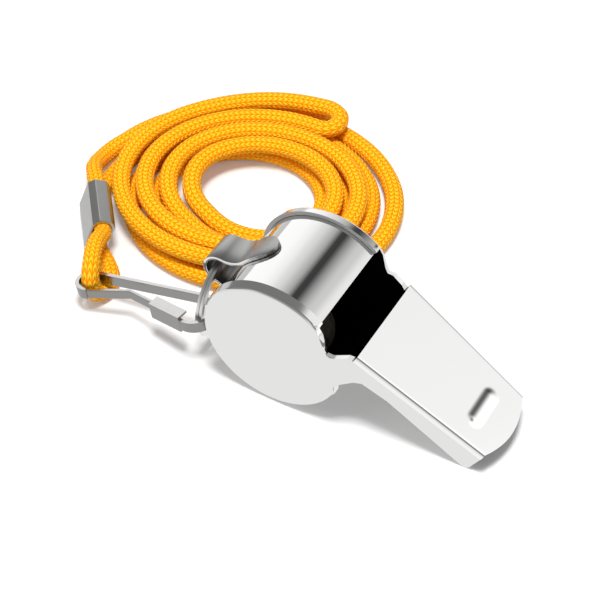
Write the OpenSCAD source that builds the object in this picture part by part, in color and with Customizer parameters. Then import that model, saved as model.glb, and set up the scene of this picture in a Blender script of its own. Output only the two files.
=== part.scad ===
// Sports whistle of pressed steel on a split ring, clip and doubled neck cord.
// It lies on its drum and the tip of its mouthpiece, +X forward, +Y to its left.

/* [Drum] */
// Diameter of the drum over its rims
drum_d = 23; // [21:0.5:26]
// Width of the drum over its two side plates
drum_w = 19.3; // [18:0.1:22]
// Thickness of the steel sheet
sheet = 0.7; // [0.5:0.05:0.8]
// Reach of each side plate's rim over the barrel
rim_w = 1.65; // [1.2:0.05:2.2]
// Radius of the pressed edge of each side plate
edge_r = 0.5; // [0.3:0.05:0.6]
// Angle of the window's rear edge, forward of the top
window_deg = 13.7; // [8:0.1:20]
// Angle at which the barrel turns into the mouthpiece floor, forward of the top
neck_deg = 69.4; // [65:0.1:74]

/* [Mouthpiece] */
// Distance from the drum's axis to the mouthpiece's front corners
mouth_len = 32.9; // [30:0.1:38]
// How far the roof plate lies below the top of the drum
roof_drop = 0.9; // [0.5:0.05:1.2]
// Distance from the drum's axis to the roof plate's rear edge
roof_x = 9.6; // [9.2:0.1:10.4]
// Thickness of the roof plate
roof_t = 0.6; // [0.5:0.05:0.8]
// Depth of the roof plate's folded long edges
fold_h = 1.1; // [0.9:0.05:1.4]
// Step from each face of the drum in to the neck, at the roof plate's rear edge
neck_in = 1.21; // [0.8:0.01:1.6]
// How far each side of the mouthpiece draws in from there to its front corners
tip_in = 1.79; // [1:0.01:2.4]
// How far the roof plate's front edge bulges
tip_bulge = 1.6; // [1:0.1:2.5]
// Rounding of the mouthpiece's lower front corner
tip_r = 0.9; // [0.6:0.05:1.2]
// Length of the bite dimple across the roof plate
dimple_l = 8; // [6:0.1:9]
// Width of the bite dimple
dimple_w = 1.7; // [1.2:0.1:2.2]
// Height of the air slot under the roof plate
slot_h = 1.1; // [0.8:0.05:1.5]

/* [Pea] */
// Diameter of the cork ball
pea_d = 10; // [8:0.1:11]

/* [Lug and split ring] */
// Width of the lug strip
lug_w = 5.4; // [4:0.1:7]
// Thickness of the lug strip
lug_t = 0.6; // [0.5:0.05:0.8]
// Inner radius of the lug's eye
eye_r = 2.2; // [2.1:0.05:2.6]
// Angle of the lug behind the top of the drum
lug_deg = 105.7; // [100:0.1:110]
// Outer diameter of the split ring
ring_d = 15; // [14:0.1:15.2]
// Radial width of the split ring's wire
ring_wire = 0.8; // [0.6:0.05:1]
// Thickness of one turn of the split ring
ring_turn = 0.5; // [0.4:0.05:0.6]

/* [Clip] */
// Height of the clip's strip
clip_h = 1.9; // [1.6:0.1:2.2]
// Thickness of the clip's strip
clip_t = 0.6; // [0.5:0.05:0.7]
// Inner radius of the clip's round hook
hook_r = 2.8; // [2.6:0.05:3.2]
// Distance between the centres of the hook and of the cord's bend
clip_len = 19.15; // [18.5:0.05:20]
// Length of the channel that takes the tongue's tip
channel_l = 6.5; // [5:0.1:7.5]

/* [Cord] */
// Diameter of the neck cord
cord_d = 2.8; // [2.4:0.1:2.9]
// Length of the crimped ferrule
ferrule_l = 9.6; // [8:0.1:11]
// Thickness of the ferrule's wall
ferrule_t = 0.45; // [0.35:0.05:0.6]
// Radius of the outermost doubled loop of the coiled cord
coil_r = 21.8; // [21.6:0.1:23]
// Turns of the doubled cord in the coil
coil_turns = 3.36; // [3.3:0.01:3.4]
// Gap between neighbouring loops of the coiled cord
coil_gap = 0.5; // [0.48:0.01:0.6]

/* [Hidden] */
$fn = 96;
// Overrun of every cut, and the soldered gap between sheets
cut = 1;
solder_gap = 0.05;

// Drum, from its axis
flange_r = drum_d / 2;
barrel_r = flange_r - sheet - solder_gap;
chamber_r = barrel_r - sheet;
plate_in = drum_w / 2 - sheet;
barrel_half = plate_in - solder_gap;

// Mouthpiece outline seen from the side, in the whistle's own frame
roof_h = flange_r - roof_drop;
fold_z = roof_h - fold_h;
neck_w = drum_w - 2 * neck_in;
tip_w = neck_w - 2 * tip_in;
neck_pt = flange_r * [1.13043, 0.56522];
sag_pt = flange_r * [1.51304, 0.6];
floor_slope = -5.31;
tip_z = sag_pt[1] + (mouth_len - sag_pt[0]) * tan(floor_slope);
tip_cx = mouth_len - tip_r;
tip_cz = sag_pt[1] + (tip_cx - sag_pt[0]) * tan(floor_slope) + tip_r / cos(floor_slope);
notch_shares = [[0.19, 1.02], [0.206, 0.978], [0.322, 0.913], [0.47, 0.748], [0.539, 0.696],
    [0.652, 0.757]];

// The arms taper towards the tip, and a slanted step joins them to the discs
taper = atan((neck_w - tip_w) / 2 / (mouth_len - roof_x));
step_deg = 31;
step_run = 2.6;
step_drop = 0.24;
step_a0 = flange_r * 0.92174;
step_a1 = step_a0 + step_run;
step_y1 = neck_w / 2 - step_drop;
arm_lap = 2;
function arm_y(x) = neck_w / 2 - (x - roof_x) * tan(taper);
strip_x0 = step_a0 * cos(step_deg) + sheet;
strip_x1 = strip_x0 + arm_lap;
arm_gap = sheet / cos(taper) + 2 * solder_gap;
dimple_in = 4.2;

// Windway insert: its foot and crest behind the neck, and its shares of the roof's length
insert_foot = 0.64;
insert_crest = 0.5;
insert_ramp_share = 0.532;
insert_tail_share = 0.644;

// Pose: the drum and the tip's lower corner stand on the surface
tip_dist = norm([tip_cx, tip_cz]);
nose_down = atan2(tip_cz, tip_cx) + asin((flange_r - tip_r) / tip_dist);

// Lug, along its own axis
eye_out = eye_r + lug_t;
bend_r = 1.2;
foot_deg = 56;
leaf_l = 4.2;
eye_rise = 1.53;
eye_dist = flange_r + eye_rise;
foot_r = barrel_r + solder_gap;
bend_v = eye_out + bend_r;
bend_u = sqrt(pow(foot_r + lug_t + bend_r, 2) - bend_v * bend_v);
bend_deg = asin(bend_v / (foot_r + lug_t + bend_r));
leaf_deg = foot_deg - 11;
eye_x = -eye_dist * sin(lug_deg - nose_down);
eye_z = flange_r + eye_dist * cos(lug_deg - nose_down);

// The part's origin is under the middle of the whistle with its lug
x_front = (mouth_len + tip_bulge) * cos(nose_down) + roof_h * sin(nose_down);
x_back = eye_x - eye_out;
shift_x = -(x_front + x_back) / 2;

// Split ring, hung in the lug's eye and standing on the surface
ring_r = ring_d / 2;
ring_mid = ring_r - ring_wire / 2;
ring_hang = 1;
ring_x = eye_x - ring_hang;
ring_step_at = 60;
ring_step_deg = 24;
ring_slit = 0.35;
ring_gap = 0.06;

// Clip, in the plane of its strip from the point where the ring hangs
clip_slope = 9.5;
ring_diag = norm([ring_wire, 2 * ring_turn + ring_gap]) / 2;
hook_clear = 0.13;
hook_off = hook_r - ring_diag - hook_clear;
hook_c = [-hook_off, hook_off] / sqrt(2);
cord_gap = 0.25;
bend_in = cord_d / 2 + cord_gap;
bend_mid = bend_in + clip_t / 2;
hook_mid = hook_r + clip_t / 2;
clip_deg = 2.245;
bend_c = hook_c - clip_len * [cos(clip_deg), sin(clip_deg)];
leg_deg = clip_deg + asin((hook_mid - bend_mid) / clip_len);
leg_dir = [-sin(leg_deg), cos(leg_deg)];
leg_run = [cos(leg_deg), sin(leg_deg)];
tongue_deg = 19.7;
channel_deg = 10;
channel_h = 2.9;
channel_wall = 0.4;
channel_depth = 1.3;
channel_swell = 0.04;
tongue_h = 1.6;
tongue_gap = 0.19;
hook_end = hook_c - hook_mid * [sin(channel_deg), cos(channel_deg)];
channel_dir = [-cos(channel_deg), sin(channel_deg)];
channel_in = [sin(channel_deg), cos(channel_deg)];
tongue_root = bend_c + bend_mid * [sin(tongue_deg), -cos(tongue_deg)];
tongue_share = 0.36;
tongue_tip = hook_end + tongue_share * channel_l * channel_dir + (clip_t + tongue_gap) * channel_in;
tongue_dir = [cos(tongue_deg), sin(tongue_deg)];
tongue_run = tongue_tip - tongue_root;
tongue_s = (tongue_run[0] * sin(channel_deg) + tongue_run[1] * cos(channel_deg))
    / sin(tongue_deg + channel_deg);
tongue_knee = tongue_root + tongue_s * tongue_dir;

// Ferrule, with two cords one over the other
ferrule_c = [-41.7, 7.1, 3.55];
ferrule_turn = -51.6;
ferrule_lean = -20.7;
strand_gap = 0.18;
bore_clear = 0.03;
bore_r = cord_d / 2 + bore_clear;
ferrule_half = (cord_d + strand_gap) / 2;
ferrule_flat = 0.5;
seam_w = 0.3;

// Coiled cord: a doubled spiral, in on the lower layer and out on the upper
coil_c = [-23.1, 23.9];
coil_stretch = 1.16;
coil_turned = 20;
coil_start = 196;
pitch = cord_d + coil_gap;
pair_pitch = 2 * pitch;
coil_back = 1.91;
coil_first = 0.12;
climb = 0.5;
reverse_soft = 0.02;
bight_from = 3.2;
bight_open = 0.77;
cord_r = cord_d / 2;

// Free cord from the ferrule's lower mouth through it to the coil, chosen by hand
lead_outer = [[-38.3, 3.7, 4.95], [-44.3, 11.2, 4.95], [-45, 12.1, 5], [-46.6, 13.9, 4.6],
    [-48.3, 16.3, 3.6], [-49.3, 18.8, 2.2], [-49.6, 21.2, 1.5], [-49.3, 23.5, 1.4]];
lead_inner = [[-39.1, 3, 2.15], [-45.1, 10.6, 2.15], [-45.5, 11.2, 2.1], [-45.7, 13.6, 1.5],
    [-45.8, 16.4, 1.4], [-45.9, 19, 1.4], [-45.8, 21.3, 1.4], [-45.5, 23.4, 1.4]];
// Small loop from one end of the ferrule down through the clip and back
loop_route = [[-38.3, 3.7, 4.95], [-37.9, 3.2, 5], [-37.2, 1.2, 5.9], [-36.4, -1.1, 6.7],
    [-35.4, -3.3, 7], [-34.6, -4.8, 6.95], [-34.1, -5.9, 6.4], [-33.8, -6.4, 5.3],
    [-33.7, -6.4, 4.1], [-33.6, -6.4, 3.1], [-33.4, -5.9, 2.1], [-33, -4.8, 1.45],
    [-33, -3.2, 1.4], [-33.6, -1.6, 1.4], [-35.1, 0, 1.45], [-37, 1.3, 1.75],
    [-38.7, 2.5, 2.15], [-39.1, 3, 2.15]];

function smooth(u) = let (v = max(0, min(1, u))) v * v * (3 - 2 * v);
function unit(v) = v / norm(v);
function pair_half(t) = pitch / 2 + bight_open * smooth((t - bight_from) / (coil_turns - bight_from));
function pair_radius(t) = coil_r - pair_pitch * coil_back
    + pair_pitch * norm([t - coil_back, reverse_soft]) + pair_half(t) - pitch / 2;
function strand_at(t, side) = let (
        r = pair_radius(t) + side * pair_half(t),
        a = coil_start - 360 * t,
        x = coil_stretch * r * cos(a),
        y = r * sin(a))
    [coil_c[0] + x * cos(coil_turned) - y * sin(coil_turned),
     coil_c[1] + x * sin(coil_turned) + y * cos(coil_turned),
     cord_r + pitch * smooth((t - coil_back + climb / 2) / climb)];
coil_n = round((coil_turns - coil_first) * 24);
strand_out = [for (i = [0:coil_n])
    strand_at(coil_first + (coil_turns - coil_first) * i / coil_n, 1)];
strand_in = [for (i = [coil_n:-1:0])
    strand_at(coil_first + (coil_turns - coil_first) * i / coil_n, -1)];
bight_a = strand_out[coil_n];
bight_b = strand_in[0];
bight_c = (bight_a + bight_b) / 2;
bight_e = (bight_a - bight_b) / 2;
bight_raw = bight_a - strand_out[coil_n - 1];
bight_f = unit(bight_raw - bight_e * (bight_raw * bight_e) / (bight_e * bight_e)) * norm(bight_e);
bight = [for (a = [30:30:150]) bight_c + bight_e * cos(a) + bight_f * sin(a)];
coil_path = concat(strand_out, bight, strand_in);
coil_count = len(coil_path);

// Least distance between the cord's surface and itself, loops apart
coil_gaps = [for (i = [0:coil_count - 1], j = [i + 8:coil_count - 1])
    let (g = norm(coil_path[i] - coil_path[j]) - cord_d) if (g < cord_d) g];
echo(coil_least_gap = min(coil_gaps), coil_rings = coil_count);

// A path's cross-section turned from ring to ring, without a twist about world Z
function tangent(p, i) = unit(i == 0 ? p[1] - p[0] :
    i == len(p) - 1 ? p[i] - p[i - 1] : unit(p[i + 1] - p[i]) + unit(p[i] - p[i - 1]));
function next_side(s, t) = unit(s - t * (s * t));
function sides(p, s0, i = 0) = i == len(p) ? [] :
    let (s = next_side(s0, tangent(p, i))) concat([s], sides(p, s, i + 1));

// A round cord of radius r swept along points, with n flat sides
module tube(p, r, n) {
    first = unit(cross([0, 0, 1], tangent(p, 0)));
    side = sides(p, first);
    ring = [for (i = [0:len(p) - 1], k = [0:n - 1])
        let (t = tangent(p, i), up = cross(t, side[i]), a = 360 * (k + 0.5) / n)
        p[i] + r * (side[i] * cos(a) + up * sin(a))];
    wall = [for (i = [0:len(p) - 2], k = [0:n - 1])
        let (a = i * n + k, b = i * n + (k + 1) % n)
        each [[a, b, b + n], [a, b + n, a + n]]];
    last = (len(p) - 1) * n;
    cap_a = [for (k = [1:n - 2]) [0, k + 1, k]];
    cap_b = [for (k = [1:n - 2]) [last, last + k, last + k + 1]];
    polyhedron(ring, concat(wall, cap_a, cap_b));
}

// Straight piece of strip seen from above, from point a to point b
module bar_2d(a, b, t) {
    d = unit(b - a);
    w = [-d[1], d[0]] * t / 2;
    polygon([a - w, b - w, b + w, a + w]);
}

// Points of an arc about centre c from angle a0 to a1
function arc_pts(c, r, a0, a1, n) =
    [for (i = [0:n]) let (a = a0 + (a1 - a0) * i / n) c + r * [cos(a), sin(a)]];

// Strip of thickness t with its middle along a line of points
module bent_2d(p, t) {
    n = len(p) - 1;
    polygon(concat([for (i = [0:n]) beside(p, i, t / 2)],
        [for (i = [n:-1:0]) beside(p, i, -t / 2)]));
}

// Bent piece of strip seen from above, about centre c from angle a0 to a1
module arc_2d(c, r, t, a0, a1) {
    far = 2 * (r + t);
    translate(c) intersection() {
        difference() {
            circle(r + t / 2);
            circle(r - t / 2);
        }
        polygon(concat([[0, 0]], [for (i = [0:6]) let (a = a0 + (a1 - a0) * i / 6)
            far * [cos(a), sin(a)]]));
    }
}

// Outline in the whistle's side view, carried across from y0 to y1
module across(y0, y1) {
    translate([0, y1, 0]) rotate([90, 0, 0]) linear_extrude(y1 - y0) children();
}

// From the whistle's own frame to the pose in which it lies
module posed() {
    translate([shift_x, 0, flange_r]) rotate([0, nose_down, 0]) children();
}

// Strip of sheet beside a line of points, thickness t to its left
function turn_left(v) = [-v[1], v[0]];
function line_normal(p, i) = turn_left(unit(p[i + 1] - p[i]));
function beside(p, i, t) = i == 0 ? p[0] + t * line_normal(p, 0) :
    i == len(p) - 1 ? p[i] + t * line_normal(p, i - 1) :
    let (a = line_normal(p, i - 1), b = line_normal(p, i)) p[i] + t * (a + b) / (1 + a * b);
module strip_2d(p, t) {
    polygon(concat(p, [for (i = [len(p) - 1:-1:0]) beside(p, i, t)]));
}

// Neck and mouthpiece as seen from the side
module neck_2d() {
    r = flange_r;
    polygon(concat(
        [[r * sin(neck_deg + 8), r * cos(neck_deg + 8)] * 0.9,
         [r * sin(neck_deg), r * cos(neck_deg)], neck_pt, sag_pt],
        [for (a = [-90 + floor_slope:15:0]) [tip_cx + tip_r * cos(a), tip_cz + tip_r * sin(a)]],
        [[mouth_len, fold_z], [roof_x - fold_h * 0.8, fold_z],
         r * notch_shares[5], r * notch_shares[4], [step_a0 * 0.55, r * 0.5]]));
}

// Window seen from the side: the notch in each side plate behind the neck
module notch_2d() {
    r = flange_r;
    polygon(concat([for (p = notch_shares) r * p], [[roof_x - fold_h * 0.8, fold_z],
        [roof_x + cut, fold_z], [roof_x + cut, r + cut], [r * notch_shares[0][0], r + cut]]));
}

// Sector between the window's rear edge and the neck
module sector_2d() {
    far = 2 * flange_r;
    polygon(concat([[0, 0]], [for (i = [0:4])
        let (a = window_deg + (neck_deg - window_deg) * i / 4) far * [sin(a), cos(a)]]));
}

// Everything forward of a slanted plane at the distance a along the step's direction
module forward_of(a) {
    big = 3 * mouth_len;
    rotate([0, -step_deg, 0]) translate([a, -big / 2, -big / 2]) cube(big);
}

// One side plate for the left of the whistle: pressed disc, slanted step and flat arm
module side_plate() {
    face = drum_w / 2;
    arm_x = roof_x - arm_lap;
    // Pan with a rounded edge, its rim left out at the window and the neck
    difference() {
        rotate([-90, 0, 0]) rotate_extrude() polygon(concat(
            [[0, plate_in], [0, face], [flange_r - edge_r, face]],
            [for (a = [75:-15:0]) [flange_r - edge_r + edge_r * cos(a), face - edge_r + edge_r * sin(a)]],
            [[flange_r, face - rim_w], [flange_r - sheet, face - rim_w], [flange_r - sheet, plate_in]]));
        across(-cut, plate_in) sector_2d();
        across(-cut, face + cut) notch_2d();
        forward_of(step_a0);
    }
    // Slanted step from the disc down to the arm
    intersection() {
        across(0, face) neck_2d();
        rotate([0, -step_deg, 0]) translate([0, 0, -2 * mouth_len]) linear_extrude(4 * mouth_len)
            polygon([[step_a0, face], [step_a0, plate_in], [step_a0 - 0.3 * sheet, plate_in],
                [step_a1 - 0.3 * sheet, step_y1 - sheet], [step_a1 + sheet / 2, step_y1 - sheet],
                [step_a1 + sheet / 2, step_y1], [step_a1, step_y1]]);
    }
    // Flat arm along the mouthpiece
    intersection() {
        across(0, face) neck_2d();
        linear_extrude(roof_h) polygon([[arm_x, arm_y(arm_x)],
            [arm_x, arm_y(arm_x) - sheet / cos(taper)],
            [mouth_len, arm_y(mouth_len) - sheet / cos(taper)], [mouth_len, arm_y(mouth_len)]]);
        forward_of(step_a1 - sheet / 2);
    }
}

module side_plate_left() {
    color("gainsboro") posed() side_plate();
}

module side_plate_right() {
    color("gainsboro") posed() mirror([0, 1, 0]) side_plate();
}

// Plan of what lies between the arms, and between the discs behind them
module between_arms() {
    w = barrel_half;
    gap = arm_gap;
    translate([0, 0, -flange_r]) linear_extrude(3 * flange_r) polygon([
        [0, -w], [strip_x0, -w], [strip_x1, -arm_y(strip_x1) + gap],
        [mouth_len, -arm_y(mouth_len) + gap], [mouth_len, arm_y(mouth_len) - gap],
        [strip_x1, arm_y(strip_x1) - gap], [strip_x0, w], [0, w]]);
}

// Outer line of the floor strip, from the barrel to the tip
floor_line = [barrel_r * [sin(neck_deg), cos(neck_deg)], neck_pt, sag_pt, [mouth_len, tip_z]];

// Barrel strip round the drum, carried on as the mouthpiece floor
module barrel() {
    color("silver") posed() {
        difference() {
            rotate([-90, 0, 0]) translate([0, 0, -barrel_half]) cylinder(r = barrel_r, h = 2 * barrel_half);
            rotate([-90, 0, 0]) translate([0, 0, -drum_w]) cylinder(r = chamber_r, h = 2 * drum_w);
            across(-drum_w, drum_w) sector_2d();
        }
        intersection() {
            across(-drum_w, drum_w) intersection() {
                union() {
                    strip_2d(floor_line, sheet);
                    polygon([chamber_r * [sin(neck_deg), cos(neck_deg)],
                        barrel_r * [sin(neck_deg + 2), cos(neck_deg + 2)], floor_line[0],
                        beside(floor_line, 0, sheet)]);
                }
                neck_2d_wide();
            }
            between_arms();
        }
    }
}

// The neck's outline with the drum's circle, to round the strip's front corner
module neck_2d_wide() {
    union() {
        neck_2d();
        circle(flange_r);
    }
}

// Roof plate with folded long edges, bulging front edge and pressed dimple
module mouthpiece_top() {
    half = neck_w / 2;
    tip_half = tip_w / 2;
    front_r = (tip_half * tip_half + tip_bulge * tip_bulge) / (2 * tip_bulge);
    front_a = asin(tip_half / front_r);
    rail_l = (mouth_len - roof_x) / cos(taper);
    fold_r = roof_t * 0.85;
    color("whitesmoke") posed() {
        difference() {
            union() {
                translate([0, 0, roof_h - roof_t]) linear_extrude(roof_t) polygon(concat(
                    [[roof_x, -half + fold_r], [mouth_len, -tip_half + fold_r]],
                    [for (i = [-8:8]) let (a = front_a * i / 8)
                        [mouth_len + tip_bulge - front_r + front_r * cos(a), front_r * sin(a)]],
                    [[mouth_len, tip_half - fold_r], [roof_x, half - fold_r]]));
                for (s = [-1, 1])
                    translate([roof_x, s * half, 0]) mirror([0, s > 0 ? 0 : 1, 0])
                        rotate([0, 0, -taper]) rotate([90, 0, 90]) linear_extrude(rail_l)
                            polygon(concat([[-fold_r * 1.5, roof_h], [-fold_r * 1.5, roof_h - roof_t],
                                [-roof_t, roof_h - roof_t], [-roof_t, fold_z], [0, fold_z]],
                                [for (a = [0:15:90])
                                    [-fold_r + fold_r * cos(a), roof_h - fold_r + fold_r * sin(a)]]));
                dimple(roof_h - roof_t - roof_t * 0.4, roof_t * 0.6, roof_t * 0.4);
            }
            dimple(roof_h - roof_t * 0.5, roof_t, 0);
        }
    }
}

// Dimple's rounded slot, from height z, h high, grown by g
module dimple(z, h, g) {
    x = mouth_len - dimple_in;
    reach = (dimple_l - dimple_w) / 2;
    translate([x, 0, z]) linear_extrude(h) {
        for (s = [-1, 1]) translate([0, s * reach]) circle(dimple_w / 2 + g);
        translate([-dimple_w / 2 - g, -reach]) square([dimple_w + 2 * g, 2 * reach]);
    }
}

// Windway insert: a bent strip that narrows the air's way to a slot at the window
module windway_insert() {
    crest_z = roof_h - roof_t - slot_h;
    foot_x = floor_line[0][0] + insert_foot;
    crest_x = foot_x + insert_crest;
    ramp_x = roof_x + insert_ramp_share * (mouth_len - roof_x);
    tail_x = roof_x + insert_tail_share * (mouth_len - roof_x);
    t = sheet * 0.75;
    up = sheet / cos(floor_slope) + solder_gap;
    tail_z = sag_pt[1] + (tail_x - sag_pt[0]) * tan(floor_slope) + up;
    ramp_z = sag_pt[1] + (ramp_x - sag_pt[0]) * tan(floor_slope) + up;
    foot_z = floor_line[0][1] + (foot_x - floor_line[0][0])
        * (neck_pt[1] - floor_line[0][1]) / (neck_pt[0] - floor_line[0][0]);
    half = [for (x = [foot_x, tail_x]) arm_y(x) - arm_gap - solder_gap];
    color("dimgray") posed() intersection() {
        across(-drum_w, drum_w)
            polygon([[tail_x, tail_z], [tail_x, tail_z + t], [ramp_x, ramp_z + t],
                [crest_x, crest_z], [foot_x, crest_z - t / 2],
                [foot_x, foot_z + up * 1.5], [foot_x + t, foot_z + up * 1.5 + t],
                [crest_x + t * 0.4, crest_z - t], [ramp_x, ramp_z]]);
        linear_extrude(roof_h) polygon([[foot_x, -half[0]], [tail_x, -half[1]],
            [tail_x, half[1]], [foot_x, half[0]]]);
    }
}

// Middle line of one half of the lug's strip, from the foot's tip up to its eye
lug_half = concat(
    arc_pts([0, 0], foot_r + lug_t / 2, 90 - foot_deg, 90 - bend_deg, 14),
    [for (i = [1:8]) arc_pts([bend_v, bend_u], bend_r + lug_t / 2, 270 - bend_deg, 180, 8)[i]]);
lug_line = concat(lug_half, arc_pts([0, eye_dist], eye_r + lug_t / 2, 0, 180, 30),
    [for (i = [len(lug_half) - 1:-1:0]) [-lug_half[i][0], lug_half[i][1]]]);

// Lug: one strip with a round eye and two leaf-shaped feet soldered to the barrel
module lug() {
    color("darkgray") posed() intersection() {
        across(-lug_w / 2, lug_w / 2) rotate(lug_deg) bent_2d(lug_line, lug_t);
        leaf(1);
        leaf(-1);
    }
}

// Leaf-shaped outline of a foot, seen along the drum's radius at its middle
module leaf(s) {
    tip = foot_r * sin(foot_deg - leaf_deg);
    half = lug_w / 2;
    far = 2 * flange_r;
    rotate([0, -lug_deg + s * leaf_deg, 0]) translate([0, 0, -far / 2]) linear_extrude(2 * far)
        polygon(concat([[-s * far, -2 * half], [-s * far, 2 * half], [s * (tip - 2 * leaf_l), 2 * half],
            [s * (tip - leaf_l), half]],
            [for (a = [80:-10:-80]) [s * (tip - leaf_l + leaf_l * cos(a)), half * sin(a)]],
            [[s * (tip - leaf_l), -half], [s * (tip - 2 * leaf_l), -2 * half]]));
}

// Cork ball, at rest on the barrel under the drum's axis
module pea() {
    color("peru") translate([shift_x, 0, flange_r - chamber_r + pea_d / 2 + solder_gap])
        sphere(d = pea_d);
}

// Split ring of two flat turns, joined where the wire steps over
module split_ring() {
    color("silver") translate([shift_x + ring_x, 0, ring_r]) rotate([0, 90, 0]) {
        for (s = [-1, 1]) difference() {
            translate([0, 0, s > 0 ? ring_gap / 2 : -ring_gap / 2 - ring_turn])
                linear_extrude(ring_turn) difference() {
                    circle(ring_r);
                    circle(ring_r - ring_wire);
                }
            rotate([0, 0, ring_step_at + s * (ring_step_deg / 2 + 2)])
                translate([ring_mid - ring_wire, -ring_slit / 2, s > 0 ? ring_gap / 2 : -ring_turn - cut])
                    cube([2 * ring_wire, ring_slit, ring_turn + cut]);
        }
        translate([0, 0, -ring_gap / 2]) linear_extrude(ring_gap)
            arc_2d([0, 0], ring_mid, ring_wire, ring_step_at - ring_step_deg / 2,
                ring_step_at + ring_step_deg / 2);
    }
}

// From the clip's own plane to its place on the ring
module clip_placed() {
    translate([shift_x + ring_x, -ring_mid, ring_r]) rotate([0, -clip_slope, 0]) children();
}

// Strip of height h about the clip's plane
module strip_high(h) {
    translate([0, 0, -h / 2]) linear_extrude(h) children();
}

// Clip frame: cord bend, far leg, round hook and the channel for the tongue
module clip_frame() {
    line = concat(arc_pts(bend_c, bend_mid, 270 + tongue_deg, 90 + leg_deg, 24),
        arc_pts(hook_c, hook_mid, 90 + leg_deg, -90 - channel_deg, 32),
        [hook_end + channel_l / 2 * channel_dir]);
    color("silver") clip_placed() {
        strip_high(clip_h) bent_2d(line, clip_t);
        translate(hook_end + channel_wall * channel_dir) rotate([0, 0, 180 - channel_deg])
            rotate([90, 0, 90]) linear_extrude(channel_l - channel_wall) channel_2d();
    }
}

// Channel's cross-section: its web is a little thicker than the strip it is folded from
module channel_2d() {
    web = clip_t / 2 + channel_swell;
    lip = clip_t / 2 + channel_depth;
    half = channel_h / 2;
    inner = half - channel_wall;
    polygon([[web, -half], [-lip, -half], [-lip, -inner], [-web, -inner],
        [-web, inner], [-lip, inner], [-lip, half], [web, half]]);
}

// Clip tongue: the springy near leg, its tip lying in the channel
module clip_tongue() {
    color("lightgray") clip_placed() {
        strip_high(tongue_h) {
            bar_2d(tongue_root, tongue_knee, clip_t);
            bar_2d(tongue_knee, tongue_tip, clip_t);
            translate(tongue_knee) circle(clip_t / 2);
        }
    }
}

// Ferrule: sheet folded round the two cords, with flats and a seam underneath
module ferrule() {
    r = bore_r + ferrule_t;
    high = ferrule_half;
    f = r * ferrule_flat;
    color("silver") translate([shift_x, 0, 0] + ferrule_c) rotate([0, 0, ferrule_turn])
        rotate([ferrule_lean, 0, 0]) rotate([90, 0, 90])
            translate([0, 0, -ferrule_l / 2]) linear_extrude(ferrule_l) difference() {
                polygon([[r, high + f], [f, high + r], [-f, high + r], [-r, high + f],
                    [-r, -high - f], [-f, -high - r], [f, -high - r], [r, -high - f]]);
                for (s = [-1, 1]) translate([0, s * high]) circle(bore_r);
                translate([-bore_r, -high]) square([2 * bore_r, 2 * high]);
                translate([-seam_w / 2, -high - r - cut]) square([seam_w, r + cut]);
            }
}

// Coiled neck cord, one unbroken tube from the lead to the bight and back
module lanyard_coil() {
    color("orange") translate([shift_x, 0, 0]) tube(coil_path, cord_r, 6);
}

// Two strands from the coil into the ferrule
module lanyard_lead() {
    color("orange") translate([shift_x, 0, 0]) {
        tube(concat(lead_outer, [strand_out[0]]), cord_r, 8);
        tube(concat(lead_inner, [strand_in[coil_n]]), cord_r, 8);
    }
}

// Small loop that holds the clip
module lanyard_loop() {
    color("orange") translate([shift_x, 0, 0]) tube(loop_route, cord_r, 8);
}

side_plate_left();
side_plate_right();
barrel();
mouthpiece_top();
windway_insert();
lug();
pea();
split_ring();
clip_frame();
clip_tongue();
ferrule();
lanyard_coil();
lanyard_lead();
lanyard_loop();
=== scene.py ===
import math

import bpy
from mathutils import Matrix, Vector


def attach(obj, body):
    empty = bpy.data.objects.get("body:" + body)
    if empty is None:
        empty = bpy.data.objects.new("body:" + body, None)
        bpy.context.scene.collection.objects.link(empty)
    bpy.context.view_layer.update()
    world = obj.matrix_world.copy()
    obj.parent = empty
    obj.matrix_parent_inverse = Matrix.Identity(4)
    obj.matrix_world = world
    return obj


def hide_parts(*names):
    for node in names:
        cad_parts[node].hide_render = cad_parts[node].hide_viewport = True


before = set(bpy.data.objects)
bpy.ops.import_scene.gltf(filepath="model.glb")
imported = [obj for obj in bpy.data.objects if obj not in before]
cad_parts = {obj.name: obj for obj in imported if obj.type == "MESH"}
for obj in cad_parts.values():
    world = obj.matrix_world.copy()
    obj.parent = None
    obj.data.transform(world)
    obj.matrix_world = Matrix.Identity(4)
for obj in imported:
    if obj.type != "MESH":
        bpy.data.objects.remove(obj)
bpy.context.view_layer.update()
MM = 0.001               # the sizes and places below are in millimetres


# The camera that took the photograph: a short telephoto about a third of a metre away,
# looking down at 47 degrees on the whistle's right side, with its frame square.
EYE = Vector((91.74, -178.2, 235.5)) * MM
LENS_MM, FILM_MM = 123.3, 36
TURN, TILT = math.radians(29.78), math.radians(47.35)
camera_data = bpy.data.cameras.new("camera")
camera_data.lens = LENS_MM
camera_data.sensor_width = FILM_MM
camera_data.clip_start = 0.01
camera = bpy.data.objects.new("camera", camera_data)
bpy.context.scene.collection.objects.link(camera)
camera_right = Vector((math.cos(TURN), math.sin(TURN), 0))
camera_back = Vector((math.sin(TURN) * math.cos(TILT), -math.cos(TURN) * math.cos(TILT),
                      math.sin(TILT)))
camera_up = camera_back.cross(camera_right)
axes = Matrix((camera_right, camera_up, camera_back)).transposed()
camera.matrix_world = Matrix.Translation(EYE) @ axes.to_4x4()
bpy.context.scene.camera = camera


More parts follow.
